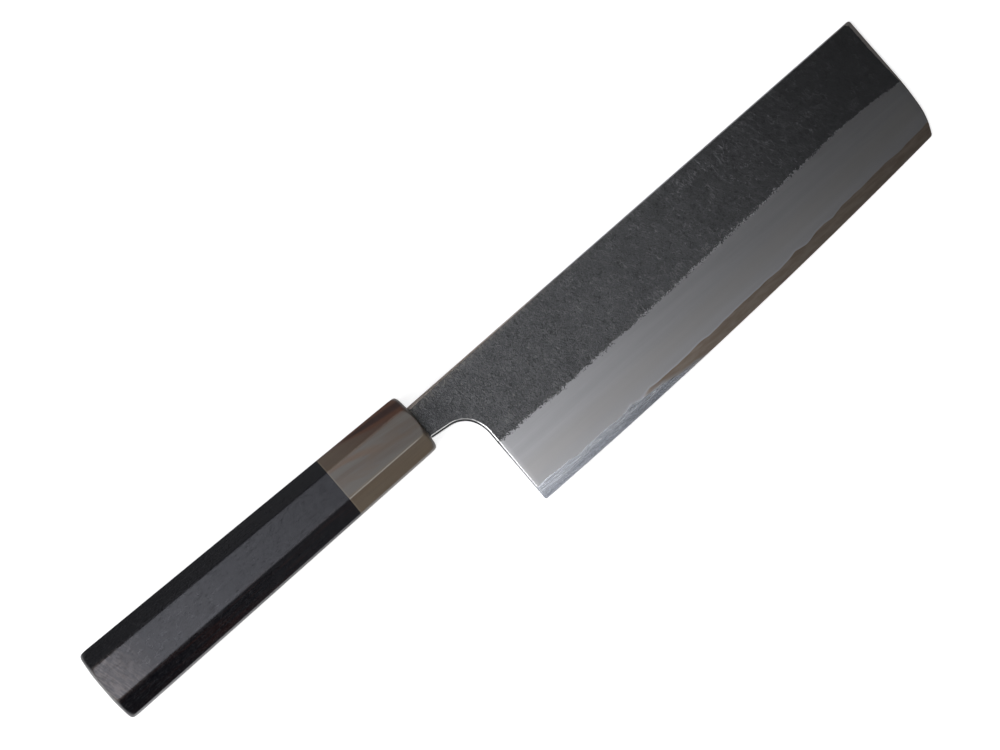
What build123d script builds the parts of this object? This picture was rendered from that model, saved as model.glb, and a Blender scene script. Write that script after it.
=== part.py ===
from build123d import *
import os
from math import sqrt

# A nakiri, the straight-edged vegetable knife: a forged blade of three layers with a long tang,
# glued into an octagonal ebony handle with a buffalo horn ferrule.
# The knife lies on its side. X runs from the butt to the blade's end, Y towards the spine, and Z
# up out of the front side. While the pieces are made, X = 0 is the crown of the ferrule's mouth
# face, Y = 0 is the handle's axis and Z = 0 is the middle of the blade's thickness.

# Blade seen from its side
blade_reach = 184.0         # ferrule mouth to the blade's end
spine_at_mouth = 5.2        # spine above the handle's axis where the neck leaves the ferrule
spine_rise = 2.3            # and how much higher it is at the blade's end
neck_height = 12.1          # at the ferrule mouth
neck_length = 10.0          # ferrule mouth to the upper bend of the choil
neck_flare = 1.3            # extra depth of the neck at that bend
choil_run = 4.0             # upper bend to lower bend, along the knife
choil_fall = 7.2            # and the same, downwards
choil_upper_radius = 4.0
choil_lower_radius = 8.0
heel_lean = 1.3             # lower bend to heel corner, along the knife
heel_height = 50.2          # spine to heel corner
heel_corner_radius = 0.6
tip_height = 44.3           # spine to the front end of the edge
edge_belly = 1.6            # bow of the edge below its own chord
tip_straight = 21.5         # straight upper part of the blade's end
tip_curve_radius = 95.0     # and the curve below it
tip_corner_radius = 3.0

# Blade thickness
neck_thickness = 3.9        # at the ferrule mouth, along the spine
tip_thickness = 1.9         # at the blade's end, along the spine
flat_lean = 0.15            # each flat comes in by this from the spine to its bevel, at the heel
spine_ease = 0.35           # broken corners of the spine
bevel_height = 22.5         # cutting edge to the line where the forged flat begins
bevel_crown_share = 0.1     # bulge of a bevel, of its half thickness at the top
bevel_runout_share = 0.25   # the grinding runs out above the bevel by this much of its height
edge_thickness = 0.16       # flat left at the cutting edge

# Layers: hard core steel between two soft iron claddings
core_at_mouth = 1.0
core_at_tip = 0.6
core_at_tang_end = 0.7

# Tang
neck_seat = 6.0             # the full neck goes this deep into the ferrule
neck_relief = 0.1           # and is filed clean there, by this much all round
tang_length = 100.0         # ferrule mouth to the tang's end
tang_root_height = 9.0
tang_root_thickness = 3.5
tang_end_height = 5.0
tang_end_thickness = 2.2

# Handle
handle_length = 129.1
ferrule_length = 32.4
width_at_mouth = 20.7       # from the edge side to the spine side
width_at_butt = 25.9
thickness_at_mouth = 18.5   # from the back to the front
thickness_at_butt = 22.5
facet_at_mouth = 10.3       # width of the front and back facets
facet_at_butt = 12.4
mouth_dome_radius = 70.0
mouth_round = 2.2           # rounded rim of the mouth face
butt_dome_radius = 56.0
butt_round = 3.0            # rounded rim of the butt
rim_margin = 0.1            # the turned ends clear the handle's corners by this

# Joint inside the handle
dowel_diameter = 14.0
dowel_in_ferrule = 22.0
dowel_in_handle = 30.0
glue_line = 0.05            # round the dowel and at both its ends
bedding_gap = 0.4           # resin all round the tang

overrun = 0.4               # how far cuts run past the faces that they open


def spine_y(x):
    return spine_at_mouth + spine_rise * x / blade_reach


def neck_y(x):
    """Underside of the neck."""
    return spine_at_mouth - neck_height - neck_flare * x / neck_length


heel_x = neck_length + choil_run + heel_lean
heel = Vector(heel_x, spine_y(heel_x) - heel_height)

tip_y = spine_y(blade_reach)
tip_curve_fall = tip_height - tip_straight
tip_setback = tip_curve_radius - sqrt(tip_curve_radius**2 - tip_curve_fall**2)
toe = Vector(blade_reach - tip_setback, tip_y - tip_height)

edge_chord = toe - heel
edge_radius = (edge_chord.length**2 / 4 + edge_belly**2) / (2 * edge_belly)
edge_normal = edge_chord.normalized().rotate(Axis.Z, 90)
edge_centre = (heel + toe) / 2 + edge_normal * (edge_radius - edge_belly)


def edge_y(x):
    """The cutting edge is one long arc from heel to toe."""
    return edge_centre.Y - sqrt(edge_radius**2 - (x - edge_centre.X) ** 2)


def flat_z(x, y):
    """Half thickness of the forged flats: they taper towards the tip and lean in to the bevel."""
    at_spine = (neck_thickness - (neck_thickness - tip_thickness) * x / blade_reach) / 2
    lean = flat_lean / (heel_height - bevel_height)
    return at_spine - lean * (spine_y(x) - y)


def bevel_z(x, height):
    """Half thickness of the ground bevel at a height above the cutting edge."""
    top = flat_z(x, edge_y(x) + bevel_height)
    share = height / bevel_height
    crown = bevel_crown_share * top * 4 * share * (1 - share)
    return edge_thickness / 2 + (top - edge_thickness / 2) * share + crown


def across(x):
    """Plane square to the knife at x, whose own X is the knife's Y and own Y the knife's Z."""
    return Plane(origin=(x, 0, 0), x_dir=(0, 1, 0), z_dir=(1, 0, 0))


def mirrored(points):
    return [(y, -z) for y, z in points]


def blade_outline():
    """Side view of the blade, carried past the spine, which the cross-sections shape."""
    bend = (neck_length, neck_y(neck_length))
    lower_bend = (neck_length + choil_run, bend[1] - choil_fall)
    back = [
        (blade_reach, tip_y + overrun),
        (0, spine_y(0) + overrun),
        (0, neck_y(0)),
        bend,
        lower_bend,
        heel,
    ]
    edge_middle = edge_centre - edge_normal * edge_radius
    half_fall = tip_curve_fall / 2
    half_setback = tip_curve_radius - sqrt(tip_curve_radius**2 - half_fall**2)
    tip_middle = (blade_reach - half_setback, tip_y - tip_straight - half_fall)
    tip_top = (blade_reach, tip_y - tip_straight)
    lines = [
        Polyline(*back),
        ThreePointArc(heel, edge_middle, toe),
        ThreePointArc(toe, tip_middle, tip_top),
        Line(tip_top, back[0]),
    ]
    outline = make_face(Curve() + lines)
    corners = {
        bend: choil_upper_radius,
        lower_bend: choil_lower_radius,
        tuple(heel)[:2]: heel_corner_radius,
        tuple(toe)[:2]: tip_corner_radius,
    }
    for corner, radius in corners.items():
        nearest = outline.vertices().sort_by_distance(corner)[0]
        outline = fillet(nearest, radius)
    return outline


def frustum(back_corners, front_corners):
    """Solid with flat sides between two polygons, each corner joined to the same one in front."""
    pairs = list(zip(back_corners, front_corners))
    faces = [Face(Wire.make_polygon(corners)) for corners in (back_corners, front_corners)]
    for (back, front), (next_back, next_front) in zip(pairs, pairs[1:] + pairs[:1]):
        faces.append(Face(Wire.make_polygon([back, next_back, next_front, front])))
    return Solid(Shell(faces))


def corners_at(x, points):
    return [Vector(x, y, z) for y, z in points]


def flats_corners(x, low, inset=0.0):
    """The forged flats and the eased spine, down to a level, all of it set in by the inset."""
    spine = spine_y(x)
    side = [
        (spine - inset, flat_z(x, spine) - spine_ease),
        (spine - spine_ease, flat_z(x, spine - spine_ease) - inset),
        (low + inset, flat_z(x, low + inset) - inset),
    ]
    return corners_at(x, side + mirrored(reversed(side)))


def bevel_section(x):
    """Cross-section of the two crowned bevels, from past the edge to outside the flats."""
    edge = edge_y(x)
    runout = bevel_height * (1 + bevel_runout_share)
    heights = (-overrun, (runout - overrun) / 2, runout)
    arc = [(edge + height, bevel_z(x, height)) for height in heights]
    top = (spine_y(x) + overrun, flat_z(x, spine_y(x)) + overrun)
    lines = [
        ThreePointArc(*arc),
        Polyline(arc[-1], top, *mirrored([top, arc[-1]])),
        ThreePointArc(*mirrored(reversed(arc))),
        Line(mirrored(arc)[0], arc[0]),
    ]
    return across(x) * make_face(Curve() + lines)


def bar(x_back, back_size, x_front, front_size, back_y=0.0, front_y=0.0):
    """Four-sided bar along the knife. A size is its height along Y and its thickness along Z."""
    ends = []
    for x, y, (height, thickness) in ((x_back, back_y, back_size), (x_front, front_y, front_size)):
        low, high = y - height / 2, y + height / 2
        side = [(low, thickness / 2), (high, thickness / 2)]
        ends.append(corners_at(x, side + mirrored(reversed(side))))
    return frustum(*ends)


# Tang and the slot that is cut for it
tang_y = (spine_y(-neck_seat) + neck_y(-neck_seat)) / 2
mouth_y = (spine_y(0) + neck_y(0)) / 2
slot_growth = 2 * bedding_gap


def tang():
    root = (tang_root_height, tang_root_thickness)
    end = (tang_end_height, tang_end_thickness)
    return bar(-tang_length, end, overrun - neck_seat, root, front_y=tang_y)


def tang_slot():
    """Mouth slot for the neck and the long slot behind it, with room for the resin."""
    mouth = (neck_height + slot_growth, neck_thickness + slot_growth)
    root = (tang_root_height + slot_growth, tang_root_thickness + slot_growth)
    end = (tang_end_height + slot_growth, tang_end_thickness + slot_growth)
    mouth_back = -neck_seat - bedding_gap
    mouth_slot = bar(mouth_back, mouth, overrun, mouth, back_y=mouth_y, front_y=mouth_y)
    long_slot = bar(-tang_length - bedding_gap, end, -neck_seat, root, front_y=tang_y)
    return mouth_slot + long_slot


def forged_steel():
    """The whole blade and tang, before it is parted into its layers."""
    front = blade_reach + overrun
    low = heel.Y - edge_belly - overrun
    flats = frustum(flats_corners(0, low), flats_corners(front, low))
    bevels = loft([bevel_section(x) for x in (0, front / 2, front)])
    trim = extrude(blade_outline(), neck_thickness, both=True)
    seat_ends = [flats_corners(x, neck_y(x), neck_relief) for x in (-neck_seat, overrun)]
    return (flats & bevels & trim) + frustum(*seat_ends) + tang()


def core_layer():
    """Everything between the two forge-weld planes."""
    back = -tang_length - overrun
    front = blade_reach + overrun
    half = [(back, core_at_tang_end / 2), (0, core_at_mouth / 2), (front, core_at_tip / 2)]
    profile = half + [(x, -z) for x, z in reversed(half)]
    layer = Plane.XZ * make_face(Polyline(*profile, close=True))
    return extrude(layer, heel_height, both=True)


def grown(x, at_mouth, at_butt):
    """A size of the handle, which changes steadily from the mouth to the butt."""
    return at_mouth - (at_butt - at_mouth) * x / handle_length


def octagon(x):
    """Corners of the handle's section, the first one of them the farthest from its axis."""
    half_width = grown(x, width_at_mouth, width_at_butt) / 2
    half_thickness = grown(x, thickness_at_mouth, thickness_at_butt) / 2
    half_facet = grown(x, facet_at_mouth, facet_at_butt) / 2
    half_side = half_thickness - (half_width - half_facet)
    quarter = [(half_width, half_side), (half_facet, half_thickness)]
    upper = quarter + [(-y, z) for y, z in reversed(quarter)]
    return corners_at(x, upper + mirrored(reversed(upper)))


def handle_blank():
    """Tapered octagon with both ends turned to a shallow dome and a rounded rim."""
    front = octagon(overrun)
    back = octagon(-handle_length - overrun)
    front_reach = Vector(0, front[0].Y, front[0].Z).length
    back_reach = Vector(0, back[0].Y, back[0].Z).length

    def dome(reach, dome_radius, apex, inwards):
        points = []
        for r in (0, reach / 2, reach):
            points.append((apex + inwards * (dome_radius - sqrt(dome_radius**2 - r**2)), r))
        return points

    mouth = dome(front_reach + rim_margin, mouth_dome_radius, 0, -1)
    butt = dome(back_reach + rim_margin, butt_dome_radius, -handle_length, 1)
    lines = [
        ThreePointArc(*mouth),
        Line(mouth[-1], butt[-1]),
        ThreePointArc(*reversed(butt)),
        Line(butt[0], mouth[0]),
    ]
    profile = make_face(Curve() + lines)
    for corner, radius in ((mouth[-1], mouth_round), (butt[-1], butt_round)):
        profile = fillet(profile.vertices().sort_by_distance(corner)[0], radius)
    return frustum(back, front) & revolve(profile, Axis.X)


def cylinder_along(x_back, x_front, radius):
    return extrude(across(x_back) * Circle(radius), x_front - x_back)


steel = forged_steel()
layer = core_layer()
back_cladding, front_cladding = (steel - layer).solids().sort_by(Axis.Z)

blank = handle_blank()
slot = tang_slot()
dowel_back = -ferrule_length - dowel_in_handle
dowel_front = -ferrule_length + dowel_in_ferrule
socket_radius = dowel_diameter / 2 + glue_line
socket = cylinder_along(dowel_back - glue_line, dowel_front + glue_line, socket_radius)
joint_plane = across(-ferrule_length)

pieces = {
    "core_steel": steel & layer,
    "front_cladding": front_cladding,
    "back_cladding": back_cladding,
    "horn_ferrule": split(blank, joint_plane, keep=Keep.TOP) - socket - slot,
    "ebony_handle": split(blank, joint_plane, keep=Keep.BOTTOM) - socket - slot,
    "tenon_dowel": cylinder_along(dowel_back, dowel_front, dowel_diameter / 2) - slot,
    "tang_bedding": (slot & blank) - steel,
}

# The finished knife's origin is the middle of its footprint, at the level of its lowest point
box = Compound(children=[Compound([piece]) for piece in pieces.values()]).bounding_box()
origin = Vector(box.center().X, box.center().Y, box.min.Z)
os.makedirs("parts", exist_ok=True)
for name, piece in pieces.items():
    export_step(Pos(*(-origin)) * piece, f"parts/{name}.step")
    print(name, len(piece.solids()), "solid", round(piece.volume), "mm3")
print("size", box.size, "origin at", origin)
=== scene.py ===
from math import cos, pi, radians, sin

import bmesh
import bpy
import numpy as np
from mathutils import Matrix, Vector


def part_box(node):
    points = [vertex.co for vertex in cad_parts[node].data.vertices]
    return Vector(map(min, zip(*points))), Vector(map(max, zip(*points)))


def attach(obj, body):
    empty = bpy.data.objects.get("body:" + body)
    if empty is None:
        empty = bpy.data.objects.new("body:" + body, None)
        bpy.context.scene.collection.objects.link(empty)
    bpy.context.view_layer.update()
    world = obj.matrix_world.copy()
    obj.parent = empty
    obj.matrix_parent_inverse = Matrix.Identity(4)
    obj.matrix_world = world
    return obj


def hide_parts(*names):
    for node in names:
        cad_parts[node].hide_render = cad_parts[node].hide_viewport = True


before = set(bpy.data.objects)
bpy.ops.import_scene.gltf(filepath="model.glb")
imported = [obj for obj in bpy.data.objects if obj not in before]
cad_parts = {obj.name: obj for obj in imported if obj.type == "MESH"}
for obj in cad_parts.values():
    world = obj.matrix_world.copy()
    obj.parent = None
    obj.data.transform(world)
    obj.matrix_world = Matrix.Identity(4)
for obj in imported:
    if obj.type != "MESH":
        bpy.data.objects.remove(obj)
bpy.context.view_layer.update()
mm = 0.001


# Core of the blade: a plate of hard carbon steel that shows as the bright band at the edge and
# runs on through the neck into the tang. The smith forge-welded it between two soft irons,
# hammered the three thin towards the tip and ground them together to two crowned bevels.
blade_reach = 184.0 * mm
spine_at_mouth = 5.2 * mm
spine_rise = 2.3 * mm
neck_at_mouth = -7.0 * mm
choil_bends = (11.09 * mm, -8.28 * mm), (14.42 * mm, -14.88 * mm)
choil_radii = 8.5 * mm, 12.2 * mm
heel_back = 14.25 * mm
heel_corner_radius = 0.5 * mm
edge_ends = (15.3 * mm, -44.79 * mm), (181.22 * mm, -36.8 * mm)
edge_belly = 1.6 * mm
tip_straight = 21.5 * mm    # the blade's end is straight that far down, then it curves back to the toe
tip_curve_radius = 133.0 * mm
toe_hook = 13.0 * mm, 0.019 / mm
toe_radius = 0.7 * mm
tip_corner_radius = 0.9 * mm
neck_thickness = 3.9 * mm
tip_thickness = 1.9 * mm
flat_lean = 0.15 * mm
flat_height = 27.7 * mm
bevel_places = np.array([14, 40, 120, 160, 172, 181]) * mm
bevel_heights = np.array([23.2, 22.5, 22.4, 22.1, 20.9, 19.2]) * mm
bevel_crown_share = 0.1
edge_thickness = 0.16 * mm
core_at_mouth = 1.0 * mm
core_at_tip = 0.6 * mm
core_at_tang_end = 0.7 * mm
neck_seat = 6.0 * mm
neck_relief = 0.1 * mm
tang_length = 100.0 * mm
tang_root = 9.0 * mm, 3.5 * mm
tang_end = 5.0 * mm, 2.2 * mm
hammer_depth, hammer_wave = 0.035 * mm, 16.0 * mm
wheel_depth, wheel_wave = 0.006 * mm, 9.0 * mm

# The weld shows as a wandering line a few millimetres above the edge
weld_places = np.array([
    14, 20, 28, 31.5, 35, 40, 50, 53.5, 57, 61.5, 66, 76, 82, 86, 98, 104, 108, 112, 116,
    120, 124, 128, 133, 136, 140, 144, 148, 163, 168, 176, 181,
]) * mm
weld_heights = np.array([
    4.5, 4.85, 4.4, 3.7, 4.2, 4.2, 3.8, 4.5, 3.55, 4.5, 4.0, 4.0, 4.3, 3.9, 4.15, 4.2, 3.9, 4.1, 3.7,
    3.9, 4.35, 3.6, 4.2, 4.35, 3.8, 4.6, 4.3, 4.35, 3.9, 3.85, 4.0,
]) * mm
weld_wander = 0.05 * mm
weld_waves = (1.3 * mm, 1.0, 0.0), (0.7 * mm, 0.7, 1.0), (2.1 * mm, 1.0, 0.0)   # length, share, start
weld_run_out = 3.0 * mm     # over this height above the weld the core thins to its plain thickness
weld_blend = 7.0 * mm       # above this height the rows of the net run parallel to the edge
plain_height = 24.5 * mm    # and above this one they turn parallel to the spine

steel_low, steel_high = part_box("core_steel")
mouth = Vector((
    steel_high.x - blade_reach,
    steel_high.y - spine_at_mouth - spine_rise,
    (steel_low.z + steel_high.z) / 2,
))


def spine_y(x):
    return spine_at_mouth + spine_rise * x / blade_reach


def neck_y(x):
    return neck_at_mouth + (choil_bends[0][1] - neck_at_mouth) * x / choil_bends[0][0]


tip_y = spine_y(blade_reach)
edge_start, edge_end = np.array(edge_ends)
half_chord = (edge_end - edge_start) / 2
half_length = np.hypot(*half_chord)
edge_radius = (half_length**2 + edge_belly**2) / (2 * edge_belly)
upwards = np.array([-half_chord[1], half_chord[0]]) / half_length
edge_centre = (edge_start + edge_end) / 2 + upwards * (edge_radius - edge_belly)


def edge_y(x):
    return edge_centre[1] - np.sqrt(edge_radius**2 - (x - edge_centre[0]) ** 2)


def tip_back(fall):
    """How far the blade's end has curved back, that much below its straight part."""
    hook_start, hook = toe_hook
    curve = tip_curve_radius - np.sqrt(tip_curve_radius**2 - fall**2)
    return curve + hook * np.clip(fall - hook_start, 0, None) ** 2


def bevel_height(x):
    return np.interp(x, bevel_places, bevel_heights)


def flat_z(x, y):
    """Half thickness of the forged flats, which taper to the tip and lean in to the bevel."""
    at_spine = (neck_thickness - (neck_thickness - tip_thickness) * x / blade_reach) / 2
    return at_spine - flat_lean / flat_height * (spine_y(x) - y)


def hammered(x, y, wave, count, seed):
    """Soft waves left by the hammer or the wheel, from 0 to 1."""
    chance = np.random.default_rng(seed)
    total = np.zeros(np.broadcast(x, y).shape)
    for _ in range(count):
        heading = chance.uniform(0, 2 * pi)
        turns = 2 * pi / (wave * chance.uniform(0.6, 1.7))
        total = total + np.sin((x * cos(heading) + y * sin(heading)) * turns + chance.uniform(0, 2 * pi))
    return 0.5 + 0.5 * total / count


def outside_z(x, y):
    """Half thickness of the blade, of the neck inside the ferrule, and of the tang."""
    top = flat_z(x, edge_y(x) + bevel_height(x))
    share = (y - edge_y(x)) / bevel_height(x)
    bevel = edge_thickness / 2 + (top - edge_thickness / 2) * share
    bevel = bevel + bevel_crown_share * top * 4 * share * (1 - share)
    forged = flat_z(x, y) - hammer_depth * hammered(x, y, hammer_wave, count=7, seed=3)
    ground = bevel - wheel_depth * hammered(x, y, wheel_wave, count=6, seed=5)
    blade = np.where(share < 1.0, np.minimum(forged, ground), forged)
    tang = np.interp(x, [-tang_length, -neck_seat], [tang_end[1] / 2, tang_root[1] / 2])
    return np.where(x < -neck_seat, tang, np.where(x < 0, flat_z(x, y) - neck_relief, blade))


def weld_height(x):
    """Height above the edge at which the core comes out from under the iron."""
    wander = sum(share * np.sin(x / length + start) for length, share, start in weld_waves)
    return np.interp(x, weld_places, weld_heights) + weld_wander * wander


def weld_z(x, y):
    """Half thickness of the core, which meets the ground surface along the weld line."""
    places = [-tang_length, 0, blade_reach]
    plain = np.interp(x, places, [core_at_tang_end, core_at_mouth, core_at_tip]) / 2
    line = weld_height(x)
    shown = outside_z(x, edge_y(x) + line)
    above = np.clip((y - edge_y(x) - line) / weld_run_out, 0, 1)
    return shown + (plain - shown) * above * above * (3 - 2 * above)


corner_steps = 24


def unit(run):
    return run / np.hypot(*run)


def rounded(points, radii):
    """Points along straight runs whose corners are rounded."""
    points = [np.asarray(point, float) for point in points]
    line = [points[0]]
    for before, corner, after, radius in zip(points, points[1:], points[2:], radii):
        arrive = unit(corner - before)
        leave = unit(after - corner)
        turn = np.arccos(arrive @ leave)
        start = corner - arrive * radius * np.tan(turn / 2)
        end = corner + leave * radius * np.tan(turn / 2)
        middle = corner + unit(leave - arrive) * radius / np.cos(turn / 2)
        for share in np.linspace(0, 1, corner_steps + 1):
            swung = (start - middle) * np.sin((1 - share) * turn) + (end - middle) * np.sin(share * turn)
            line.append(middle + swung / np.sin(turn))
    line.append(points[-1])
    return np.array(line)


# The outline as two lines: from the neck round the choil to the heel, and from the toe to the spine
run_on = 4.0 * mm           # how far the lines run on past their last corner
back_line = rounded(
    [
        (0, neck_y(0)), *choil_bends, (heel_back, edge_y(heel_back)),
        (heel_back + run_on, edge_y(heel_back + run_on)),
    ],
    [*choil_radii, heel_corner_radius],
)
turn_at = 1 + corner_steps // 2     # the middle of the choil's upper bend
turning = back_line[turn_at]
toe_x = 180.25 * mm         # where the edge meets the curve of the blade's end
tip_points = 15
tip_falls = np.linspace(tip_y - tip_straight - edge_y(toe_x), 0, tip_points)
tip_curve = np.stack([blade_reach - tip_back(tip_falls), tip_y - tip_straight - tip_falls], 1)
tip_line = np.vstack([
    rounded([(toe_x - run_on, edge_y(toe_x - run_on)), tip_curve[0], tip_curve[2]], [toe_radius])[1:-1],
    tip_curve[2:-1],
    rounded(
        [tip_curve[-1], (blade_reach, tip_y), (blade_reach - run_on, spine_y(blade_reach - run_on))],
        [tip_corner_radius],
    )[:-1],
])


def by_height(line):
    """A line of the outline as heights above the edge, rising, and the places there."""
    return line[:, 1] - edge_y(line[:, 0]), line[:, 0]


back_rise, back_x = by_height(back_line[turn_at:-1][::-1])
tip_rise, tip_x = by_height(tip_line)
arris_steps = np.array([0, 0.06, 0.13, 0.21, 0.3, 0.4, 0.52, 0.65, 0.8, 1.0, 1.25, 1.55]) * mm


def stations(start, end, step, fine_start=False, fine_end=False):
    """Places from start to end about a step apart, and closer at an end that has an arris."""
    low = start + arris_steps[-1] * fine_start
    high = end - arris_steps[-1] * fine_end
    places = list(np.linspace(low, high, max(2, round((high - low) / step) + 1)))
    if fine_start:
        places = list(start + arris_steps[:-1]) + places
    if fine_end:
        places = places + list(end - arris_steps[-2::-1])
    return np.array(places)


def full_height(x):
    return spine_y(x) - edge_y(x)


# Rows of the net that the blade's surfaces lie over. A row's height above the edge is its part of
# the weld's height, its plain part, and its free part of what is left up to the spine
net_step = 0.75 * mm
choil_step = 0.4 * mm
border_step = 0.28 * mm
border_start = 19.5 * mm    # the rows are close together from here on, where the bevel ends
flat_rise = full_height(turning[0]) - plain_height
turn_rise = back_rise[-1] - plain_height
under_weld = stations(0, 1, 0.1)
over_weld = np.array([0.02, 0.05, 0.1, 0.17, 0.26, 0.38, 0.52, 0.68, 0.84, 1.0])
on_bevel = np.concatenate([
    stations(weld_blend, border_start, net_step)[1:],
    stations(border_start, plain_height, border_step)[1:],
])
on_flat = np.concatenate([
    stations(0, turn_rise, choil_step)[1:-1],
    stations(turn_rise, flat_rise, net_step, True, True),
]) / flat_rise
weld_part = np.concatenate([under_weld, 1 - over_weld, 0 * on_bevel, 0 * on_flat])
plain_part = np.concatenate([
    0 * under_weld, weld_blend * over_weld, on_bevel, plain_height + 0 * on_flat,
])
free_part = np.concatenate([0 * under_weld, 0 * over_weld, 0 * on_bevel, on_flat])
turn_row = int(np.argmin(abs(free_part - turn_rise / flat_rise)))
weld_row = len(under_weld) - 1


def row_height(row, x):
    """Height above the edge of one row, or of several."""
    free = full_height(x) - plain_height
    return weld_part[row] * weld_height(x) + plain_part[row] + free_part[row] * free


def row_end(row, rises, places):
    """Where a row meets a line of the outline."""
    x = places[len(places) // 2]
    for _ in range(20):
        x = np.interp(row_height(row, x), rises, places)
    return x


rows = np.arange(len(weld_part))
row_starts = np.array([
    row_end(row, back_rise, back_x) if row <= turn_row else turning[0] for row in rows
])
row_ends = np.array([row_end(row, tip_rise, tip_x) for row in rows])
row_length = blade_reach - turning[0]
row_shares = stations(0, row_length, net_step, True, True) / row_length
blade_x = row_starts + (row_ends - row_starts) * row_shares[:, None]
blade_y = edge_y(blade_x) + row_height(rows, blade_x)

hair = 0.02 * mm            # a step in the neck lies between two columns this close to it
tang_step, seat_step, neck_step = 6.0 * mm, 2.0 * mm, 0.35 * mm
neck_places = np.concatenate([
    stations(-tang_length, -neck_seat - hair, tang_step),
    stations(-neck_seat + hair, -hair, seat_step),
    stations(0, turning[0], neck_step)[:-1],
])


def neck_edges(x):
    """Lower and upper edge of the tang, of the seated neck and of the open neck."""
    low = np.where(x < 0, neck_y(x) + neck_relief, np.interp(x, *back_line[: turn_at + 1].T))
    high = spine_y(x) - neck_relief * (x < 0)
    root_middle = (spine_y(-neck_seat) + neck_y(-neck_seat)) / 2
    middle = np.interp(x, [-tang_length, -neck_seat], [0, root_middle])
    half = np.interp(x, [-tang_length, -neck_seat], [tang_end[0] / 2, tang_root[0] / 2])
    is_tang = x < -neck_seat
    return np.where(is_tang, middle - half, low), np.where(is_tang, middle + half, high)


neck_low, neck_high = neck_edges(neck_places)
first_column = blade_y[0, turn_row:]
share_up = np.zeros(len(rows))
share_up[turn_row:] = (first_column - first_column[0]) / (first_column[-1] - first_column[0])
neck_x = neck_places[:, None] + 0 * share_up
neck_net_y = neck_low[:, None] + (neck_high - neck_low)[:, None] * share_up
net_x = np.vstack([neck_x, blade_x])
net_y = np.vstack([neck_net_y, blade_y])
net_cells = np.ones((net_x.shape[0] - 1, net_x.shape[1] - 1), bool)
net_cells[: len(neck_places), :turn_row] = False


def distance_to(line):
    """Distance of each point of the net from a line of the outline."""
    nearest = np.full(net_x.shape, blade_reach)
    for (x0, y0), (x1, y1) in zip(line, line[1:]):
        run, rise = x1 - x0, y1 - y0
        share = np.clip(((net_x - x0) * run + (net_y - y0) * rise) / (run**2 + rise**2), 0, 1)
        nearest = np.minimum(nearest, np.hypot(net_x - x0 - share * run, net_y - y0 - share * rise))
    return nearest


def broken(distance, chamfer, rounding, slope):
    """Drop of a broken arris: a chamfer along the outline that runs out in a rounding."""
    into = np.clip(chamfer + rounding - distance, 0, None)
    return slope * np.where(into < rounding, into**2 / (2 * rounding), into - rounding / 2)


def eased(distance, width, depth):
    """Drop of a quarter-round arris."""
    share = np.clip(1 - distance / width, 0, 1)
    return depth * (1 - np.sqrt(1 - share * share))


# The smith has broken all arrises: the spine is eased, widest at the neck; the choil and the heel
# have a narrow chamfer, which is softer on the bevel; the blade's end is chamfered down to the bevel
back_chamfer = 0.12 * mm, 0.50 * mm     # on the bevel and on the flat
back_rounding = 0.55 * mm, 0.22 * mm
back_slope = 0.34, 0.90
tip_chamfer_places = np.array([-20, -16, -4, 6]) * mm
tip_chamfers = np.array([0, 0.5, 1.05, 1.1]) * mm
tip_rounding, tip_slope = 0.15 * mm, 0.42
spine_chamfer, spine_slope = 0.3 * mm, 0.22
spine_rounding_places = np.array([0, 20, 42]) * mm
spine_roundings = np.array([1.25, 0.7, 0.3]) * mm
spine_ease = 0.6 * mm, 0.42 * mm
deepest_share = 0.6         # no arris takes more than this share of the half thickness
from_spine = np.abs(spine_y(net_x) - net_y)
from_back = distance_to(back_line[:-1])
from_tip = distance_to(tip_line)
is_flat = np.clip((net_y - edge_y(net_x) - bevel_height(net_x)) / mm + 0.5, 0, 1)
at_back = [low + (high - low) * is_flat for low, high in (back_chamfer, back_rounding, back_slope)]
tip_width = np.interp(net_y, tip_chamfer_places, tip_chamfers)
spine_soft = np.interp(net_x, spine_rounding_places, spine_roundings)
drops = [
    broken(from_back, *at_back),
    broken(from_tip, tip_width, tip_rounding, tip_slope),
    broken(from_spine, spine_chamfer, spine_soft, spine_slope),
    eased(from_spine, *spine_ease),
]
body_z = outside_z(net_x, net_y)
arris = np.maximum.reduce(drops)
core_z = weld_z(net_x, net_y)
side_z = np.maximum(body_z - np.minimum(arris, deepest_share * body_z), core_z)
up_to_weld = rows <= weld_row
core_z = np.where(up_to_weld, body_z, core_z)
side_z = np.where(up_to_weld, body_z, side_z)


def add_object(name, data):
    made = bpy.data.objects.new(name, data)
    bpy.context.scene.collection.objects.link(made)
    return made


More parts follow.
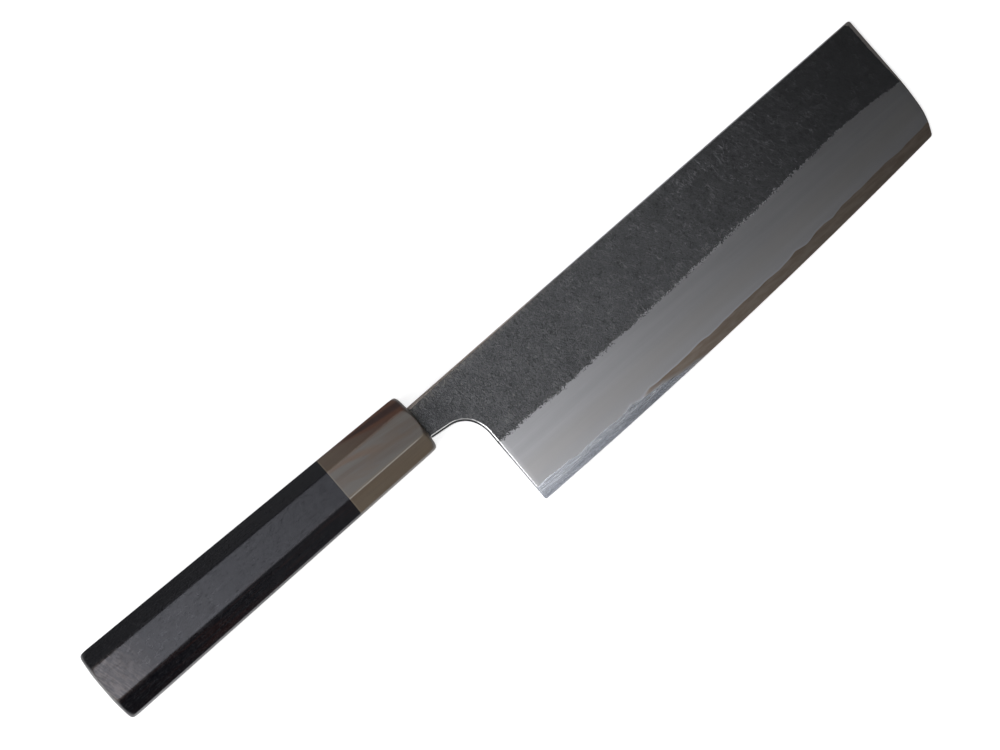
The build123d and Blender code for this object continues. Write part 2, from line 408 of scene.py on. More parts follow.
def solid_between(name, front, back, first_row, marks):
    """Closed mesh between two surfaces over the net, from one row up. Marks are point attributes."""
    x, y, z_front, z_back = (a[:, first_row:] for a in (net_x, net_y, front, back))
    cells = net_cells[:, first_row:]
    used = np.zeros(x.shape, bool)
    for i in (0, 1):
        for j in (0, 1):
            used[i : used.shape[0] - 1 + i, j : used.shape[1] - 1 + j] |= cells
    count = int(used.sum())
    number = np.zeros(x.shape, int)
    number[used] = np.arange(count)
    points = np.concatenate([np.stack([x, y, z], -1)[used] for z in (z_front, z_back)])
    around = [number[:-1, :-1], number[1:, :-1], number[1:, 1:], number[:-1, 1:]]
    top = np.stack([corner[cells] for corner in around], 1)
    sides = {(a, b) for face in top.tolist() for a, b in zip(face, face[1:] + face[:1])}
    rim = sorted(side for side in sides if side[::-1] not in sides)
    walls = [(b, a, a + count, b + count) for a, b in rim]
    mesh = bpy.data.meshes.new(name)
    faces = top.tolist() + (top[:, ::-1] + count).tolist() + walls
    mesh.from_pydata((points + np.array(mouth)).tolist(), [], faces)
    for mark, values in marks.items():
        attribute = mesh.attributes.new(mark, "FLOAT", "POINT")
        flat = values[:, first_row:][used]
        attribute.data.foreach_set("value", np.concatenate([flat, flat]).astype(np.float32))
    finish_mesh(mesh)
    return add_object(name, mesh)


def finish_mesh(mesh):
    """Merges doubles, turns all faces outwards and smooths all but the sharp edges."""
    closest = 0.0005 * mm
    sharp_from = radians(40)
    work = bmesh.new()
    work.from_mesh(mesh)
    bmesh.ops.remove_doubles(work, verts=work.verts, dist=closest)
    bmesh.ops.dissolve_degenerate(work, edges=work.edges, dist=closest)
    bmesh.ops.recalc_face_normals(work, faces=work.faces)
    work.to_mesh(mesh)
    work.free()
    mesh.shade_smooth()
    mesh.set_sharp_from_angle(angle=sharp_from)


class Link:
    """A node's socket that can be used in sums. Each sum adds its Math node."""

    def __init__(self, socket):
        self.socket = socket

    def math(self, operation, *others):
        node = self.socket.node.id_data.nodes.new("ShaderNodeMath")
        node.operation = operation
        for slot, value in zip(node.inputs, (self, *others)):
            plug(value, slot)
        return Link(node.outputs[0])

    def __add__(self, other):
        return self.math("ADD", other)

    def __sub__(self, other):
        return self.math("SUBTRACT", other)

    def __rsub__(self, other):
        return self * -1.0 + other

    def __mul__(self, other):
        return self.math("MULTIPLY", other)

    def __truediv__(self, other):
        return self.math("DIVIDE", other)

    def __pow__(self, other):
        return self.math("POWER", other)

    def __abs__(self):
        return self.math("ABSOLUTE")

    __radd__ = __add__
    __rmul__ = __mul__

    def step(self, low, high):
        """0 below low, 1 above high, and smooth between them. High may be the lower one."""
        node = self.socket.node.id_data.nodes.new("ShaderNodeMapRange")
        node.interpolation_type = "SMOOTHSTEP"
        values = self, min(low, high), max(low, high), float(low > high), float(low < high)
        for slot, value in zip(node.inputs, values):
            plug(value, slot)
        return Link(node.outputs[0])


def plug(value, slot):
    if isinstance(value, Link):
        slot.id_data.links.new(value.socket, slot)
    else:
        slot.default_value = value


class Nodes:
    """Adds nodes to one tree."""

    def __init__(self, tree):
        self.tree = tree

    def add(self, kind, settings=None, values=None, out=0):
        """A node by its type, its settings, the values or links of its sockets and the output wanted."""
        node = self.tree.nodes.new(kind)
        for name, value in (settings or {}).items():
            setattr(node, name, value)
        for name, value in (values or {}).items():
            plug(value, node.inputs[name])
        return Link(node.outputs[out])

    def blend(self, share, a, b):
        """Colour a where the share is 0 and b where it is 1."""
        a, b = ((*c, 1) if isinstance(c, tuple) else c for c in (a, b))
        return self.add("ShaderNodeMix", {"data_type": "RGBA"}, {0: share, 6: a, 7: b}, out=2)

    def noise(self, place, scale, detail=3.0, rough=0.5, warp=0.0):
        return self.add("ShaderNodeTexNoise", {}, {
            "Vector": place, "Scale": scale, "Detail": detail, "Roughness": rough, "Distortion": warp,
        })

    def streaks(self, place, lengths, detail=3.0, rough=0.5, warp=0.0, turn=0):
        """Noise drawn out to a length in millimetres along each axis, the axes turned in degrees."""
        values = {"Vector": place, "Rotation": (0, 0, radians(turn)), "Scale": lengths}
        drawn = self.add("ShaderNodeMapping", {"vector_type": "TEXTURE"}, values)
        return self.noise(drawn, 1.0, detail, rough, warp)

    def axes(self, vector):
        return [self.add("ShaderNodeSeparateXYZ", {}, {0: vector}, out=axis) for axis in ("X", "Y", "Z")]

    def mark(self, name):
        return self.add("ShaderNodeAttribute", {"attribute_name": name}, out="Fac")


def material(name):
    """A material with its surface shader, its nodes, and object coordinates in millimetres."""
    made = bpy.data.materials.new(name)
    made.use_nodes = True
    nodes = Nodes(made.node_tree)
    shader = made.node_tree.nodes["Principled BSDF"]
    coordinates = nodes.add("ShaderNodeTexCoord", out="Object")
    place = nodes.add("ShaderNodeVectorMath", {"operation": "SCALE"}, {0: coordinates, "Scale": 1 / mm})
    return made, shader, nodes, place


def bump(nodes, height, depth):
    return nodes.add("ShaderNodeBump", {}, {"Height": height, "Strength": 1.0, "Distance": depth})


# Where the scale is rubbed off the arrises, and the other marks that the materials read
bare_back = 0.72 * mm
bare_beyond_tip = 0.12 * mm
bare_spine_places = np.array([0, 14, 40, 60]) * mm
bare_spine_widths = np.array([1.15, 0.75, 0.5, 0.4]) * mm
farthest_back = 10.0 * mm
bare_tip = tip_width + bare_beyond_tip
bare_spine = np.interp(net_x, bare_spine_places, bare_spine_widths)
height_marks = (net_y - edge_y(net_x)) / mm
marks = {
    "along": net_x / mm,
    "above_edge": height_marks,
    "above_border": height_marks - bevel_height(net_x) / mm,
    "from_weld": height_marks - weld_height(net_x) / mm,
    "rim": np.minimum.reduce([from_back / bare_back, from_tip / bare_tip, from_spine / bare_spine]),
    "from_back": np.minimum(from_back, farthest_back) / mm,
    "browned": (np.minimum(from_spine, from_tip) < from_back).astype(float),
}

steel_blue = 0.50, 0.53, 0.585
steel_pale = 0.78, 0.81, 0.86
patina_dark = 0.32, 0.26, 0.212
patina_pale = 0.41, 0.342, 0.285
weld_highlight_colour = 0.9, 0.92, 0.96
grain_depth = 0.0015 * mm

honed, shader, nodes, place = material("honed_core_steel")
along = nodes.mark("along")
grain = nodes.streaks(place, (5.0, 0.24, 1.0), 3.0)
mottle = nodes.streaks(place, (6.0, 1.1, 1.0), 3.0, 0.6)
upper = nodes.mark("above_edge") / 4
fresh = nodes.blend(upper.step(0.3, 0.75) * 0.6 + grain.step(0.35, 0.65) * 0.4, steel_blue, steel_pale)
whetted = upper.step(0.14, 0.02) * 0.5 + along.step(62, 70) * upper.step(0.4, 0.1)
fresh = nodes.blend(whetted, fresh, steel_pale)
patina = nodes.blend(mottle.step(0.3, 0.7), patina_dark, patina_pale)
browned = (along + upper * 22 + (mottle - 0.5) * 12).step(75, 85)
tone = nodes.blend(browned, fresh, patina)
# Painted highlight: a pale line on the core just under the weld line, towards the heel, for the light
# caught where the iron meets the core
core_weld_highlight = nodes.mark("from_weld").step(-0.45, -0.1) * along.step(66, 52)
plug(nodes.blend(core_weld_highlight * 0.7, tone, weld_highlight_colour), shader.inputs["Base Color"])
shader.inputs["Metallic"].default_value = 1.0
plug(0.22 + grain * 0.08 + browned * 0.05, shader.inputs["Roughness"])
plug(bump(nodes, grain, grain_depth), shader.inputs["Normal"])

core = solid_between("blade_core", core_z, -core_z, 0, marks)
core.data.materials.append(honed)
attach(core, "root")
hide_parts("core_steel")


# The two sides of the blade: soft iron, welded on hot. Above the bevel they keep the black scale
# of the forge, fine and crackled. Below it the wheel has ground them to a satin grey, and the
# border between the two is ragged, as the scale breaks away.
scale_dark = 0.050, 0.051, 0.053
scale_pale = 0.160, 0.162, 0.168
ground_dark = 0.335, 0.335, 0.345
ground_pale = 0.48, 0.48, 0.49
warm_ground = 0.425, 0.41, 0.395
chamfer_highlight = 0.66, 0.66, 0.66
bare_grey = 0.30, 0.30, 0.31
bare_brown = 0.52, 0.455, 0.41
bare_tip_tone = 0.25, 0.23, 0.22
wall_painted_shade = 0.045, 0.046, 0.049
wall_pale_shade = 0.30, 0.30, 0.31
scale_specks = 0.25, 0.24, 0.225
scale_shade_at_tip = 0.018, 0.018, 0.020
ground_low = 0.70, 0.70, 0.70
iron_weld_highlight_colour = 0.66, 0.68, 0.72
ground_shade_at_tip = 0.02, 0.02, 0.02
heel_highlight_tone = 0.8, 0.8, 0.8
scale_depth = 0.03 * mm

iron, shader, nodes, place = material("forged_iron")
along = nodes.mark("along")
near_neck = along.step(125, 5)
tip_fade = along.step(190, 115) * 0.65 + 0.35

# Forge scale with its torn border, fine creases and long curved hairlines
torn = nodes.noise(place, 0.28, 3.0, 0.6) * 1.5 + nodes.noise(place, 1.2, 3.0, 0.7) * 3.6
torn = torn + nodes.noise(place, 2.4, 2.0, 0.6) * 1.8
scale = (nodes.mark("above_border") + (torn - 3.45) * tip_fade).step(-0.16, 0.16)
grit = nodes.streaks(place, (0.9, 1.25, 1.0), 2.0, 0.6, 1.4)
crease = abs(grit - 0.5).step(0.11, 0.01)
strokes = nodes.streaks(place, (4.5, 1.2, 1.0), 2.0, 0.55, 1.2, turn=-62)
stroke = abs(strokes - 0.5).step(0.034, 0.0)
other_strokes = nodes.streaks(place, (6.0, 2.4, 1.0), 2.0, 0.5, 1.8, turn=-75)
other_stroke = abs(other_strokes - 0.5).step(0.026, 0.0) * nodes.noise(place, 0.25, 2.0).step(0.48, 0.58)
other_stroke = other_stroke * (along.step(185, 120) * 0.65 + 0.35)
cloud = nodes.noise(place, 0.11, 3.0, 0.5)
fine = crease * (0.14 + near_neck * 0.42) + stroke * 0.28 + (grit - 0.5) * 0.50
share = 0.245 - near_neck * 0.02 + (cloud - 0.5) * (0.15 + near_neck * 0.2)
share = share + fine * tip_fade + other_stroke * 0.75
scale_tone = nodes.blend(share, scale_dark, scale_pale)
worn_spine = nodes.mark("rim").step(4.5, 1.0) * nodes.mark("browned") * near_neck
grains = nodes.streaks(place, (0.8, 1.4, 1.0), 2.0, 0.6).step(0.46, 0.66)
specks = nodes.noise(place, 1.5, 2.0, 0.6).step(0.64, 0.72) * near_neck
rubbed = specks * 0.45 + worn_spine * (0.10 + grains * 0.75)
scale_tone = nodes.blend(rubbed, scale_tone, scale_specks)
# Painted shade: the scale darkens towards the tip, where less light falls
scale_tone = nodes.blend(along.step(95, 175) * 0.40, scale_tone, scale_shade_at_tip)

# Ground bevel: fine lines of the wheel and broad bands, lighter towards the edge, with painted
# highlights by the weld and the heel and painted shade towards the tip
height = nodes.mark("above_edge")
lines = nodes.streaks(place, (7.0, 0.25, 1.0), 3.0)
bands = nodes.streaks(place, (55.0, 2.6, 4.0), 2.0)
ground_tone = nodes.blend(lines * 0.30 + bands.step(0.2, 0.8) * 0.35 + 0.16, ground_dark, ground_pale)
ground_tone = nodes.blend(height.step(20, 5) * 0.32, ground_tone, ground_low)
warm = height.step(6, 9) * height.step(15, 11)
ground_tone = nodes.blend(warm * 0.4, ground_tone, warm_ground)
# Painted highlight: a pale band on the bevel just above the weld line, along the middle of the blade
weld_band_highlight = nodes.mark("from_weld").step(0.75, 0.15) * along.step(48, 56) * along.step(185, 110)
ground_tone = nodes.blend(weld_band_highlight * 0.5, ground_tone, iron_weld_highlight_colour)
# Painted shade: the bevel darkens towards the tip, where less light falls
ground_tone = nodes.blend(along.step(120, 180) * 0.16, ground_tone, ground_shade_at_tip)
off_back = nodes.mark("from_back")
# Painted highlight: the bevel is lighter within a couple of millimetres of the heel
ground_tone = nodes.blend(off_back.step(2.4, 0.6) * 0.3, ground_tone, heel_highlight_tone)

# Bare rim: brown on the spine near the neck and grey further out. On the choil's chamfer a painted
# highlight, and on the choil's wall painted shade, a dark reflection that turns pale towards the heel
ragged_rim = nodes.mark("rim") + (nodes.noise(place, 1.3, 3.0, 0.7) - 0.5) * 0.6
bare = ragged_rim.step(1.08, 0.88)
browned = nodes.mark("browned")
worn_tone = nodes.blend(along.step(45, 60), bare_brown, bare_grey)
worn_tone = nodes.blend(along.step(170, 178), worn_tone, bare_tip_tone)
wall_shade_tone = nodes.blend(height.step(26, 12), wall_painted_shade, wall_pale_shade)
back_highlight_and_shade = nodes.blend(off_back.step(0.44, 0.32), chamfer_highlight, wall_shade_tone)
bare_and_painted_rim_tone = nodes.blend(browned, back_highlight_and_shade, worn_tone)

tone = nodes.blend(scale, ground_tone, scale_tone)
plug(nodes.blend(bare, tone, bare_and_painted_rim_tone), shader.inputs["Base Color"])
covered = scale * (1 - bare)
rusted = bare * browned * along.step(168, 178)
plug(1.0 - 0.08 * covered - 0.6 * rusted, shader.inputs["Metallic"])
scale_roughness = 0.07 + (grit - 0.5) * 0.1
roughness = 0.31 + lines * 0.04 + covered * scale_roughness + rusted * 0.15
plug(roughness, shader.inputs["Roughness"])
fine_relief = crease * (0.15 + near_neck * 1.2) + stroke * 0.4 + grit * (0.5 + near_neck * 1.2)
scale_relief = fine_relief * tip_fade + near_neck * 0.5 + other_stroke * 0.7
relief = covered * scale_relief + (1 - scale) * lines * 0.08
plug(bump(nodes, relief, scale_depth), shader.inputs["Normal"])

front_iron = solid_between("blade_front_iron", side_z, core_z, weld_row, marks)
back_iron = solid_between("blade_back_iron", -core_z, -side_z, weld_row, marks)
for piece, node in ((front_iron, "front_cladding"), (back_iron, "back_cladding")):
    piece.data.materials.append(iron)
    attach(piece, "root")
    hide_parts(node)


# Handle and ferrule: one tapered octagon, an ebony grip and a buffalo horn ferrule glued end to
# end on a dowel and then planed together, so the eight facets run on across the joint. Both ends
# are turned to a shallow dome.
handle_length = 129.1 * mm
ferrule_length = 32.4 * mm
width_ends = 20.3 * mm, 25.45 * mm
thickness_ends = 18.5 * mm, 22.49 * mm
facet_ends = 10.35 * mm, 12.7 * mm
arris_power = 220.0         # the higher, the sharper the handle's eight arrises
rim_power = 90.0            # and the arris between a turned end and the facets
ferrule_dome, ferrule_rim = 70.0 * mm, 2.8 * mm
butt_dome, butt_rim = 80.0 * mm, 3.0 * mm
rim_margin = 0.1 * mm       # the turned rim reaches that far past the octagon's corners
tiny = 0.001 * mm           # points this close are one
nudge = 0.00001             # keeps a whole quarter turn whole in spite of rounding


def octagon_tree():
    """Tree that makes one end of the handle: dome, rounded rim, facets and the flat joint face."""
    tree = bpy.data.node_groups.new("tapered_octagon", "GeometryNodeTree")
    make = Nodes(tree)
    tree.interface.new_socket("Geometry", in_out="OUTPUT", socket_type="NodeSocketGeometry")
    names = (
        "Crown", "Inwards", "Joint", "Dome radius", "Rim radius", "Rim reach", "Handle length",
        "Width at mouth", "Width at butt", "Thickness at mouth", "Thickness at butt",
        "Facet at mouth", "Facet at butt",
    )
    for name in names:
        tree.interface.new_socket(name, in_out="INPUT", socket_type="NodeSocketFloat")
    tree.interface.new_socket("Finish", in_out="INPUT", socket_type="NodeSocketMaterial")
    group = tree.nodes.new("NodeGroupInput")
    size = {socket.name: Link(socket) for socket in group.outputs}

    rim_rows, side_rows, dome_rows, across_facet = 30, 70, 14, 20
    around = 8 * across_facet
    last_row = dome_rows + rim_rows + side_rows + 1
    grid = make.add("GeometryNodeMeshGrid", {}, {
        "Size X": 1.0, "Size Y": 1.0, "Vertices X": around + 1, "Vertices Y": last_row + 1,
    })
    across, down, _ = make.axes(make.add("GeometryNodeInputPosition"))
    turn = across + 0.5
    row = (down + 0.5) * last_row

    def between(low, high):
        """Share of the way through a range of rows, held at 0 before it and at 1 after it."""
        share = (row - low) / (high - low)
        return share.math("MAXIMUM", 0.0).math("MINIMUM", 1.0)

    # Turned profile: a radius and a depth behind the crown for each row
    dome = between(0, dome_rows)
    rim = between(dome_rows, dome_rows + rim_rows)
    side = between(dome_rows + rim_rows, last_row - 1)
    closing = between(last_row - 1, last_row)
    round_radius = size["Rim radius"]
    reach = size["Rim reach"]
    dome_radius = size["Dome radius"]
    inner = dome_radius - round_radius
    off_axis = reach - round_radius
    rim_depth = dome_radius - (inner * inner - off_axis * off_axis) ** 0.5
    lean = (off_axis / inner).math("ARCSINE")
    dome_radial = dome * (dome_radius * lean.math("SINE"))
    dome_depth = dome_radius - (dome_radius * dome_radius - dome_radial * dome_radial) ** 0.5
    swing = lean + rim * (pi / 2 - lean)
    rim_radial = off_axis + round_radius * swing.math("SINE")
    rim_drop = rim_depth - round_radius * swing.math("COSINE")
    in_rim = rim.math("GREATER_THAN", 0.0)
    joint_depth = abs(size["Joint"] - size["Crown"])
    radial = dome_radial + (rim_radial - dome_radial) * in_rim + side * joint_depth
    depth = dome_depth + (rim_drop - dome_depth) * in_rim
    run = side ** 1.4           # the rows are closer together by the rim
    depth = depth + (joint_depth - depth) * run

    # Octagon at that depth
    x = size["Crown"] + size["Inwards"] * depth
    back = (0.0 - x) / size["Handle length"]

    def half_size(name):
        start, end = size[name + " at mouth"], size[name + " at butt"]
        return (start + (end - start) * back) / 2

    half_width, half_thickness, half_facet = map(half_size, ("Width", "Thickness", "Facet"))
    half_side = half_thickness - half_width + half_facet
    first_corner = half_side.math("ARCTAN2", half_width)
    second_corner = half_thickness.math("ARCTAN2", half_facet)
    quarter = turn * 4
    whole = (quarter + nudge).math("FLOOR")
    odd = whole.math("MODULO", 2.0)
    fold = abs(odd - (quarter - whole))
    lower = (fold * 4).math("MINIMUM", 1.0)
    middle = ((fold - 0.25) * 2).math("MAXIMUM", 0.0).math("MINIMUM", 1.0)
    upper = ((fold - 0.75) * 4).math("MAXIMUM", 0.0)
    angle = first_corner * (lower * (pi / 2)).math("SINE")
    angle = angle + (second_corner - first_corner) * (1 - (middle * pi).math("COSINE")) / 2
    angle = angle + (pi / 2 - second_corner) * (1 - (upper * (pi / 2)).math("COSINE"))
    out_y, out_z = angle.math("COSINE"), angle.math("SINE")
    gauge = (out_y / half_width) * half_thickness
    slanted = (out_y + out_z) / (half_thickness + half_facet) * half_thickness
    total = gauge ** arris_power + slanted ** arris_power + out_z ** arris_power
    octagon_radius = half_thickness / total ** (1 / arris_power)
    ratio = (octagon_radius / (radial + tiny)) ** rim_power
    rounded_radius = octagon_radius / (1 + ratio) ** (1 / rim_power) * (1 - closing)
    quadrant = whole * (pi / 2) + pi / 4
    sign_y = quadrant.math("COSINE").math("SIGN")
    sign_z = quadrant.math("SINE").math("SIGN")
    placed = make.add("ShaderNodeCombineXYZ", {}, {
        "X": x,
        "Y": rounded_radius * out_y * sign_y,
        "Z": rounded_radius * out_z * sign_z,
    })
    shaped = make.add("GeometryNodeSetPosition", {}, {"Geometry": grid, "Position": placed})
    merged = make.add("GeometryNodeMergeByDistance", {}, {"Geometry": shaped, "Distance": tiny})
    real = make.add("GeometryNodeRealizeInstances", {}, {"Geometry": merged})
    painted = make.add("GeometryNodeSetMaterial", {}, {"Geometry": real, "Material": size["Finish"]})
    output = tree.nodes.new("NodeGroupOutput")
    plug(painted, output.inputs[0])
    return tree


octagon = octagon_tree()


def size_at(x, ends):
    return ends[0] - (ends[1] - ends[0]) * x / handle_length


def turned_end(name, crown, inwards, dome_radius, rim_radius, finish, cutters):
    """One piece of the handle, from its crown to the joint, less the cuts for the tang and the dowel."""
    piece = add_object(name, bpy.data.meshes.new(name))
    width, thickness, facet = (size_at(crown, ends) for ends in (width_ends, thickness_ends, facet_ends))
    half = width / 2
    half_side = (thickness - width + facet) / 2
    sizes = {
        "Crown": crown, "Inwards": inwards, "Joint": -ferrule_length,
        "Dome radius": dome_radius, "Rim radius": rim_radius,
        "Rim reach": float(np.hypot(half, half_side)) + rim_margin,
        "Handle length": handle_length, "Finish": finish,
    }
    for measure, ends in (("Width", width_ends), ("Thickness", thickness_ends), ("Facet", facet_ends)):
        sizes[measure + " at mouth"], sizes[measure + " at butt"] = ends
    shape = piece.modifiers.new("shape", "NODES")
    shape.node_group = octagon
    for socket in octagon.interface.items_tree:
        if socket.in_out == "INPUT":
            shape[socket.identifier] = sizes[socket.name]
    for cutter in cutters:
        cut = piece.modifiers.new(cutter.name, "BOOLEAN")
        cut.object = cutter
        cut.operation = "DIFFERENCE"
        cut.solver = "EXACT"
    evaluated = piece.evaluated_get(bpy.context.evaluated_depsgraph_get())
    mesh = bpy.data.meshes.new_from_object(evaluated)
    piece.modifiers.clear()
    mesh.name = name
    piece.data = mesh
    mesh.transform(Matrix.Translation(mouth))
    finish_mesh(mesh)
    return piece


def bar(name, ends):
    """Four-sided bar along the knife. An end is its place, its middle height, and its two sizes."""
    mesh = bpy.data.meshes.new(name)
    points = [
        (x, y + up * high / 2, out * thick / 2)
        for x, y, high, thick in ends
        for up, out in ((-1, -1), (1, -1), (1, 1), (-1, 1))
    ]
    faces = [(0, 1, 2, 3), (7, 6, 5, 4)] + [(i, i + 4, (i + 1) % 4 + 4, (i + 1) % 4) for i in range(4)]
    mesh.from_pydata(points, [], faces)
    finish_mesh(mesh)
    return add_object(name, mesh)


# What the pieces of the handle are cut out for, as in the solids: mouth slot, long slot, dowel socket
bedding_gap = 0.4 * mm
glue_line = 0.05 * mm
dowel_radius = 7.0 * mm
dowel_in_ferrule = 22.0 * mm
dowel_in_handle = 30.0 * mm
beyond = 1.0 * mm           # the mouth slot's cutter reaches that far out of the mouth
mouth_y = (spine_y(0) + neck_y(0)) / 2
tang_y = (spine_y(-neck_seat) + neck_y(-neck_seat)) / 2
mouth_slot = bar("mouth_slot", [
    (x, mouth_y, spine_y(0) - neck_y(0) + 2 * bedding_gap, neck_thickness + 2 * bedding_gap)
    for x in (-neck_seat - bedding_gap, beyond)
])
slot_ends = (-tang_length - bedding_gap, 0, tang_end), (-neck_seat, tang_y, tang_root)
long_slot = bar("long_slot", [
    (x, y, high + 2 * bedding_gap, thick + 2 * bedding_gap) for x, y, (high, thick) in slot_ends
])
socket_length = dowel_in_ferrule + dowel_in_handle + 2 * glue_line
bpy.ops.mesh.primitive_cylinder_add(
    vertices=96, radius=dowel_radius + glue_line, depth=socket_length, rotation=(0, pi / 2, 0),
    location=(-ferrule_length + (dowel_in_ferrule - dowel_in_handle) / 2, 0, 0),
)
socket = bpy.context.object
socket.name = "dowel_socket"


def on_handle(nodes, place):
    """Millimetres from the mouth, from the middle towards the spine, and above the middle."""
    return [part - start / mm for part, start in zip(nodes.axes(place), mouth)]


horn_dark = 0.094, 0.072, 0.056
horn_pale = 0.116, 0.104, 0.091
horn_smoke = 0.112, 0.074, 0.047
horn_smear = 0.135, 0.072, 0.038
horn_lower_side = 0.168, 0.128, 0.088
horn_upper_side = 0.150, 0.108, 0.078
horn_by_mouth = 0.094, 0.042, 0.028
layer_rim = 0.115, 0.042, 0.019
layer_heart = 0.030, 0.007, 0.005
horn_fibre = 0.052, 0.038, 0.027
glue_tone = 0.26, 0.22, 0.17
arris_highlight_colour = 0.46, 0.43, 0.39
fibre_depth = 0.003 * mm

horn, shader, nodes, place = material("buffalo_horn")
from_mouth, across, _ = on_handle(nodes, place)
fibres = nodes.streaks(place, (22.0, 0.5, 0.5), 4.0, 0.6)
bands = nodes.streaks(place, (55.0, 4.0, 4.0), 2.0, 0.5, 0.5, turn=-7)
smoke = nodes.streaks(place, (20.0, 4.5, 4.5), 2.0, 0.5, 0.6, turn=-12)
tone = nodes.blend(bands.step(0.36, 0.66), horn_dark, horn_pale)
tone = nodes.blend(smoke.step(0.50, 0.66) * 0.45, tone, horn_smoke)
smear = abs(across - 4.6 + (from_mouth + 28) * 0.23 + (smoke - 0.5) * 3).step(1.7, 0.3)
tone = nodes.blend(smear * from_mouth.step(-11, -22) * 0.75, tone, horn_smear)
tone = nodes.blend(across.step(-4.5, -5.2) * 0.8, tone, horn_lower_side)
upper_side = across.step(4.5, 5.2)
tone = nodes.blend(upper_side * 0.8, tone, horn_upper_side)
tone = nodes.blend(upper_side * from_mouth.step(-29, -6) * 0.8, tone, horn_by_mouth)

# A dark layer runs through the horn, leaning a little against the ferrule's length
layer = across - 9.55 + (from_mouth + 19) * 0.124 + (smoke - 0.5) * 0.8
off_layer = abs(layer) / (from_mouth.step(-27, -4) * 0.95 + 0.25)
shown = from_mouth.step(-27, -17)
tone = nodes.blend(off_layer.step(2.9, 1.4) * shown * 0.8, tone, layer_rim)
tone = nodes.blend(off_layer.step(1.3, 0.5) * shown * 0.95, tone, layer_heart)
tone = nodes.blend(fibres.step(0.45, 0.8) * 0.22, tone, horn_fibre)

# Painted highlight along the arrises, partly real burnish, weaker on the upper side; and the glue line
# at the joint
painted_arris_line = abs(abs(across) - 5.18 + from_mouth * 0.0091).step(0.30, 0.06)
glue = from_mouth.step(-31.95, -32.3)
tone = nodes.blend(glue * 0.55, tone, glue_tone)
painted_arris_line = painted_arris_line * (0.65 - upper_side * 0.55) * from_mouth.step(-1.5, -6)
tone = nodes.blend(painted_arris_line, tone, arris_highlight_colour)
plug(tone, shader.inputs["Base Color"])
plug(0.26 + fibres * 0.10, shader.inputs["Roughness"])
shader.inputs["IOR"].default_value = 1.55
plug(bump(nodes, fibres, fibre_depth), shader.inputs["Normal"])

ebony_dark = 0.0010, 0.0012, 0.0030
ebony_grain = 0.0070, 0.0058, 0.0070
ebony_red = 0.018, 0.0045, 0.0030
ebony_dull = 0.030, 0.030, 0.033
ebony_worn = 0.125, 0.105, 0.098
ebony_sheen = 0.97, 0.98, 1.06
ebony_depth = 0.005 * mm

ebony, shader, nodes, place = material("oiled_ebony")
from_mouth, across, above = on_handle(nodes, place)
grain = nodes.streaks(place, (16.0, 0.45, 0.45), 4.0, 0.6)
pores = nodes.streaks(place, (2.2, 0.16, 0.16), 2.0).step(0.62, 0.74)
red = nodes.streaks(place, (26.0, 0.7, 0.7), 3.0, 0.6).step(0.48, 0.66) * across.step(-4, -7)
sanding = nodes.streaks(place, (0.45, 3.0, 3.0), 2.0, turn=14)
swirls = nodes.streaks(place, (2.4, 1.2, 1.2), 3.0, 0.6, 1.5, turn=20)

# The butt is worn dull and scratched, on the two broad facets only
broad = abs(across).step(7.2, 5.6) * abs(above).step(8.5, 10.0)
worn = (from_mouth + (swirls - 0.5) * 14).step(-107, -129) * broad
tone = nodes.blend(grain.step(0.45, 0.7) * 0.6, ebony_dark, ebony_grain)
tone = nodes.blend(red * 0.75, tone, ebony_red)
dulled = swirls.step(0.42, 0.60) * from_mouth.step(-72, -96) * broad
tone = nodes.blend(dulled * 0.7, tone, ebony_dull)
scratched = worn * (0.25 + sanding.step(0.4, 0.6) * 0.75)
tone = nodes.blend(scratched, tone, ebony_worn)
plug(tone, shader.inputs["Base Color"])
smoother = worn * 0.05 + (1 - broad) * from_mouth.step(-30, -120) * 0.08
blotched = (swirls - 0.5) * (0.12 + from_mouth.step(-72, -96) * 0.16)
plug(0.26 + pores * 0.25 + grain * 0.10 + blotched - smoother, shader.inputs["Roughness"])
shader.inputs["IOR"].default_value = 1.46
shader.inputs["Specular Tint"].default_value = (*ebony_sheen, 1)
relief = grain * 1.6 - pores * 1.4 + swirls * 3.5 + sanding * worn * 4.5
plug(bump(nodes, relief, ebony_depth), shader.inputs["Normal"])

cuts = socket, mouth_slot, long_slot
ferrule = turned_end("ferrule", 0.0, -1.0, ferrule_dome, ferrule_rim, horn, cuts)
grip = turned_end("handle_grip", -handle_length, 1.0, butt_dome, butt_rim, ebony, (socket, long_slot))
for piece, node, finish in ((ferrule, "horn_ferrule", "horn"), (grip, "ebony_handle", "ebony")):
    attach(piece, "root")
    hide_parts(node)
for cutter in cuts:
    bpy.data.objects.remove(cutter)


# Dowel and bedding: a turned softwood pin joins the two pieces of the handle, and dark resin
# fills the slot round the tang. Only the resin's end shows, as a thin line round the neck.
softwood_dark = 0.50, 0.36, 0.21
softwood_pale = 0.68, 0.54, 0.36
resin_dark = 0.018, 0.016, 0.015
resin_pale = 0.04, 0.034, 0.03

softwood, shader, nodes, place = material("dowel_wood")
rings = nodes.streaks(place, (30.0, 0.9, 0.9), 3.0)
plug(nodes.blend(rings, softwood_dark, softwood_pale), shader.inputs["Base Color"])
plug(0.55 + rings * 0.2, shader.inputs["Roughness"])
resin, shader, nodes, place = material("set_resin")
cloud = nodes.noise(place, 0.8, 3.0)
plug(nodes.blend(cloud, resin_dark, resin_pale), shader.inputs["Base Color"])
plug(0.4 + cloud * 0.2, shader.inputs["Roughness"])
for node, finish in (("tenon_dowel", softwood), ("tang_bedding", resin)):
    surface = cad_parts[node].data
    surface.materials.clear()
    surface.materials.append(finish)


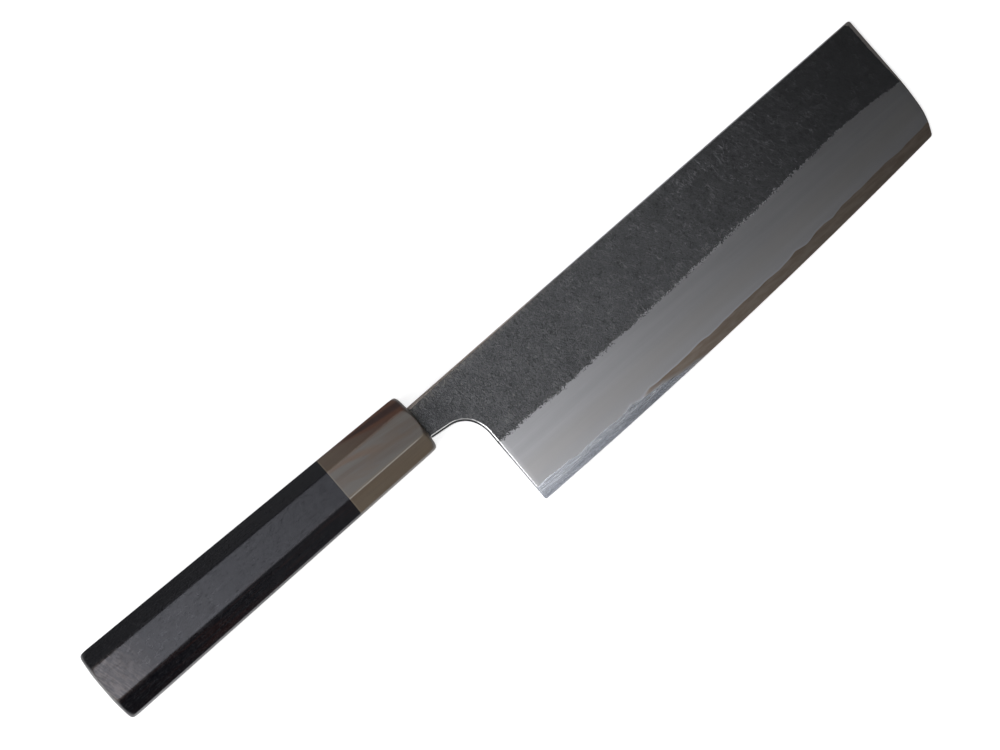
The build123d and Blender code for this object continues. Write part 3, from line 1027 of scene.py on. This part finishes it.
# The studio: a white table top that the knife lies on, with its blade's end and the ferrule's
# lower edge touching it, soft lamps, and a long lens looking down on the blade's front side.
ferrule_touch = Vector((-1.5 * mm, -5.15 * mm, -9.2 * mm))
spine_touch = Vector((blade_reach, tip_y, -0.95 * mm))
end_touch = Vector((181.0 * mm, -13.0 * mm, -0.93 * mm))
floor_gap = 0.1 * mm
table_corners = (-0.22, -0.20), (0.22, -0.20), (0.22, 0.22), (-0.22, 0.22)
upright = (spine_touch - ferrule_touch).cross(end_touch - ferrule_touch).normalized()
floor_mesh = bpy.data.meshes.new("table_top")
corners = []
for x, y in table_corners:
    rise = ferrule_touch + mouth - Vector((x, y, 0))
    corners.append((x, y, rise.dot(upright) / upright.z - floor_gap))
floor_mesh.from_pydata(corners, [], [(0, 1, 2, 3)])
floor = add_object("table_top", floor_mesh)


def seen_by(nodes):
    """Masks of the rays straight from the camera, off a mirror and through glass."""
    kinds = "Is Camera Ray", "Is Glossy Ray", "Is Transmission Ray"
    return [nodes.add("ShaderNodeLightPath", out=kind) for kind in kinds]


table_white = 0.72, 0.72, 0.72, 1
glow_colour = 1, 1, 1, 1
glow_to_camera = 0.80
glow_in_mirrors = 0.1
white, shader, nodes, _ = material("white_table")
shader.inputs["Base Color"].default_value = table_white
shader.inputs["Roughness"].default_value = 0.9
shader.inputs["Emission Color"].default_value = glow_colour
camera_rays, mirror_rays, clear_rays = seen_by(nodes)
glow = camera_rays * glow_to_camera + (mirror_rays + clear_rays) * glow_in_mirrors
plug(glow, shader.inputs["Emission Strength"])
floor_mesh.materials.append(white)

room_dark = 0.018, 0.018, 0.019
room_white = 1.0, 1.0, 1.0
world = bpy.data.worlds.new("studio")
bpy.context.scene.world = world
world.use_nodes = True
nodes = Nodes(world.node_tree)
background = world.node_tree.nodes["Background"]
camera_rays, mirror_rays, clear_rays = seen_by(nodes)
height = nodes.axes(nodes.add("ShaderNodeTexCoord", out="Generated"))[2]
walls = height.step(0.10, 0.35) * height.step(0.80, 0.55)
seen_white = camera_rays + (mirror_rays + clear_rays) * (height.step(-0.08, -0.15) + walls * 0.42)
plug(nodes.blend(seen_white, room_dark, room_white), background.inputs["Color"])


def softbox(name, place, aim, size, power, colour=(1, 1, 1)):
    """A soft lamp at a place, turned towards its aim, with its size in metres and power in watts."""
    lamp = bpy.data.lights.new(name, "AREA")
    lamp.shape = "RECTANGLE"
    lamp.size, lamp.size_y = size
    lamp.energy = power
    lamp.color = colour
    stand = add_object(name, lamp)
    heading = (Vector(aim) - Vector(place)).to_track_quat("-Z", "Y")
    stand.matrix_world = Matrix.Translation(place) @ heading.to_matrix().to_4x4()
    stand.visible_camera = False


softbox("overhead", (-0.18, 0.01, 0.68), (-0.08, 0, 0), (0.28, 0.30), 1.2, (0.985, 0.99, 1.02))
softbox("handle_side", (-0.85, -0.03, 0.50), (0, 0, 0), (0.4, 0.4), 5.0)
softbox("spine_side", (-0.05, 0.75, 0.55), (0, 0, 0), (0.5, 0.3), 0.45)
softbox("edge_side", (-0.05, -0.75, 0.55), (0, 0, 0), (0.5, 0.3), 1.2)

view_turn = radians(40.547)
view_tilt = radians(4.1)        # towards the cutting edge
view_lean = radians(2.6)        # towards the handle
view_width = 312.2 * mm
view_distance = 3.0
aim = Vector((1.25 * mm, 10.07 * mm, mouth.z))
film_width = 36
lens = bpy.data.cameras.new("camera")
lens.sensor_width = film_width
lens.lens = film_width * view_distance / view_width
camera = add_object("camera", lens)
turned = Matrix.Rotation(view_tilt, 4, "X") @ Matrix.Rotation(-view_lean, 4, "Y")
turned = turned @ Matrix.Rotation(-view_turn, 4, "Z")
camera.matrix_world = Matrix.Translation(aim) @ turned @ Matrix.Translation((0, 0, view_distance))
bpy.context.scene.camera = camera
bpy.context.scene.view_settings.view_transform = "Standard"
